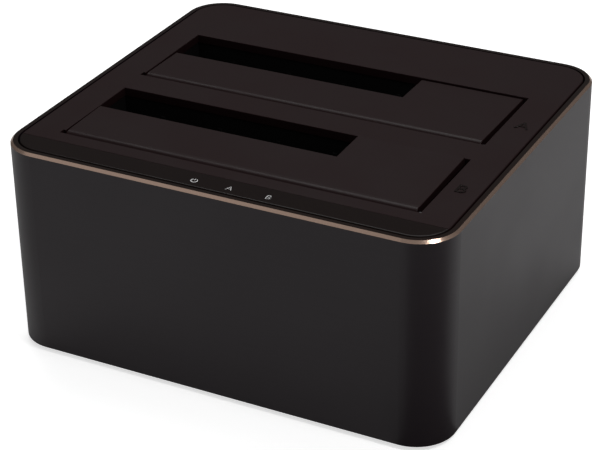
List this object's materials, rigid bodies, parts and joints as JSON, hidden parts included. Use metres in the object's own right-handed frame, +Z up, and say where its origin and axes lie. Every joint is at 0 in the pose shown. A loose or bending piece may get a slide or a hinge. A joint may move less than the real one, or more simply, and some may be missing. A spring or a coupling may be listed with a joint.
{
  "type": "desktop drive duplicator dock",
  "caption": "Desktop dock in an aluminium sleeve that holds bare drives upright behind sprung doors and copies one to the other.",
  "frame": {"origin": "on the desk, under the middle of the case, level with the bottom of the rubber feet", "axes": "+X to the right along the long front face, +Y from the front to the back, +Z up"},
  "size_m": [0.1282, 0.1144, 0.0613],
  "materials": {
    "anodised_black": "satin",
    "panel_plastic": "matte",
    "strip_gloss": "gloss",
    "flap_plastic": "matte",
    "bay_plastic": "matte",
    "button_plastic": "satin",
    "socket_plastic": "satin",
    "jack_plastic": "satin",
    "foot_rubber": "matte",
    "screw_steel": "satin",
    "pin_steel": "satin",
    "spring_steel": "satin",
    "clear_guide": "gloss",
    "board_laminate": "satin",
    "led_body": "gloss",
    "plug_nylon": "satin",
    "cable_skin": "satin",
    "chip_epoxy": "matte",
    "inductor_core": "matte",
    "can_aluminium": "satin",
    "port_nickel": "polished",
    "port_liner": "satin",
    "contact_gold": "polished"
  },
  "bodies": {
    "case": {"outer_sleeve": "anodised_black", "top_bezel": "panel_plastic", "indicator_strip": "strip_gloss", "base_plate": "panel_plastic", "rubber_feet": "foot_rubber", "base_screws": "screw_steel", "chassis_screws": "screw_steel", "bezel_screws": "screw_steel", "light_guide": "clear_guide", "indicator_board": "board_laminate", "indicator_leds": "led_body", "cable_plugs": "plug_nylon", "indicator_cable": "cable_skin", "main_board": "board_laminate", "bridge_chip": "chip_epoxy", "board_chips": "chip_epoxy", "power_inductors": "inductor_core", "board_capacitors": "can_aluminium", "rear_io_plate": "panel_plastic", "usb_port_shell": "port_nickel", "usb_port_tongue": "port_liner", "usb_port_contacts": "contact_gold", "dc_jack_body": "jack_plastic", "dc_jack_pin": "port_nickel", "power_switch_body": "jack_plastic", "copy_switch_body": "jack_plastic", "drive_bay_a": "bay_plastic", "hinge_pin_a": "pin_steel", "flap_spring_a": "spring_steel", "sata_connector_a": "socket_plastic", "sata_contacts_a": "contact_gold", "drive_bay_b": "bay_plastic", "hinge_pin_b": "pin_steel", "flap_spring_b": "spring_steel", "sata_connector_b": "socket_plastic", "sata_contacts_b": "contact_gold"},
    "door_a": {"flap_a": "flap_plastic"},
    "door_b": {"flap_b": "flap_plastic"},
    "power_key": {"power_button": "button_plastic"},
    "copy_key": {"copy_button": "button_plastic"}
  },
  "joints": [
    {"name": "flap_a_hinge", "type": "hinge", "parent": "case", "child": "door_a", "pos_m": [0, 0.0008, 0.0588], "axis": [-1, 0, 0], "range_deg": [0, 88], "stiffness_Nm_per_rad": 0.004, "springref_deg": -34.38, "deforming": ["flap_spring_a"]},
    {"name": "flap_b_hinge", "type": "hinge", "parent": "case", "child": "door_b", "pos_m": [0, -0.0405, 0.0588], "axis": [-1, 0, 0], "range_deg": [0, 88], "stiffness_Nm_per_rad": 0.004, "springref_deg": -34.38, "deforming": ["flap_spring_b"]},
    {"name": "power_button_push", "type": "slide", "parent": "case", "child": "power_key", "axis": [0, -1, 0], "range_m": [0, 0.0022], "stiffness_N_per_m": 800, "springref_m": -0.0005},
    {"name": "copy_button_push", "type": "slide", "parent": "case", "child": "copy_key", "axis": [0, -1, 0], "range_m": [0, 0.0012], "stiffness_N_per_m": 1200, "springref_m": -0.0005}
  ]
}
